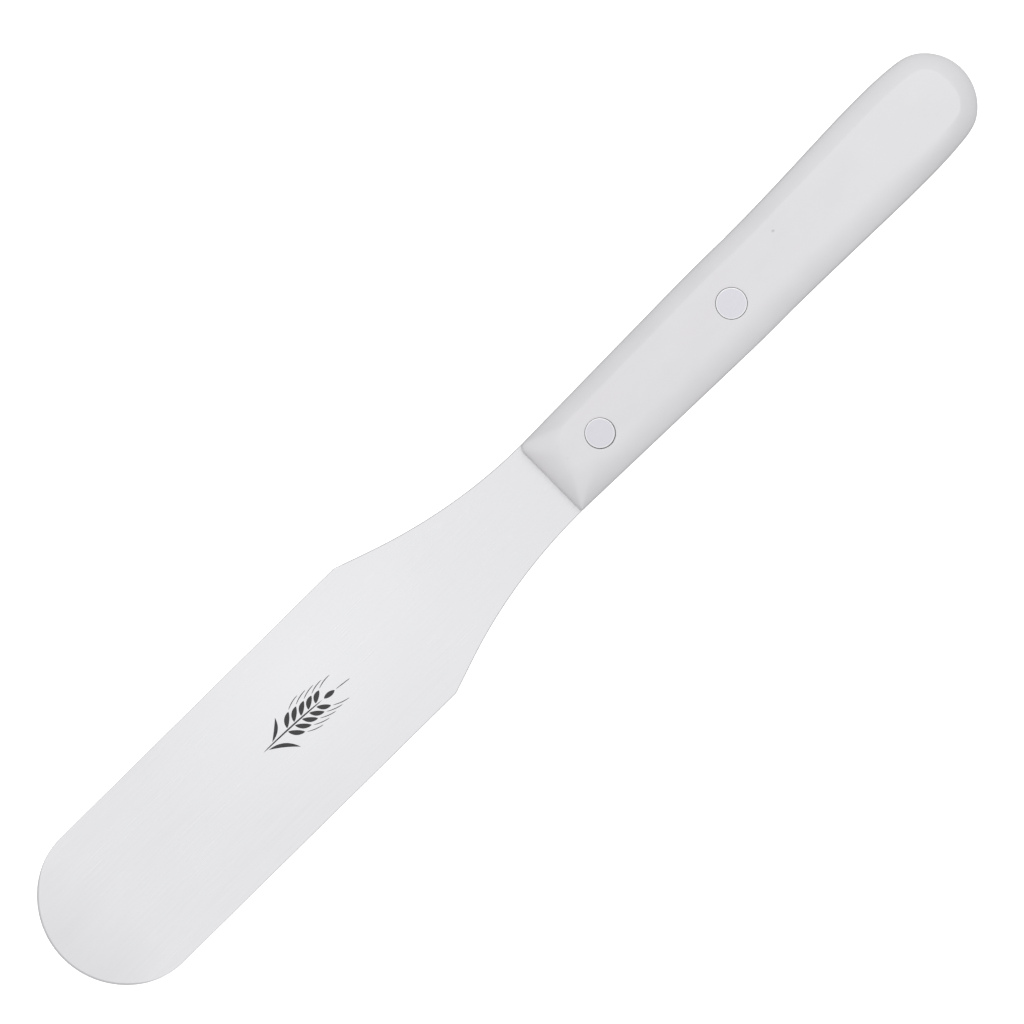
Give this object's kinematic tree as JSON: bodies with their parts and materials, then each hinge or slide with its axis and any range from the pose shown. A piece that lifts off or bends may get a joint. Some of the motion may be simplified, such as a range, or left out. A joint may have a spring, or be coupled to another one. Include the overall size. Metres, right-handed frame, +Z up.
{
  "type": "icing spatula",
  "caption": "Flat baker's spatula: a round-nosed steel blade narrows at a concave neck into a riveted off-white plastic handle.",
  "frame": {"origin": "under the middle of the whole spatula's length and width, level with the handle's flat underside", "axes": "+X from the handle to the tip of the blade, +Z up through the broad faces, +Y across the blade"},
  "size_m": [0.2822, 0.039, 0.014],
  "materials": {
    "blade_steel": "satin",
    "handle_plastic": "satin",
    "rivet_steel": "satin",
    "etched_mark": "matte"
  },
  "bodies": {
    "root": {"blade": "blade_steel", "handle": "handle_plastic", "front_rivet_female": "rivet_steel", "front_rivet_male": "rivet_steel", "rear_rivet_female": "rivet_steel", "rear_rivet_male": "rivet_steel"}
  },
  "joints": []
}
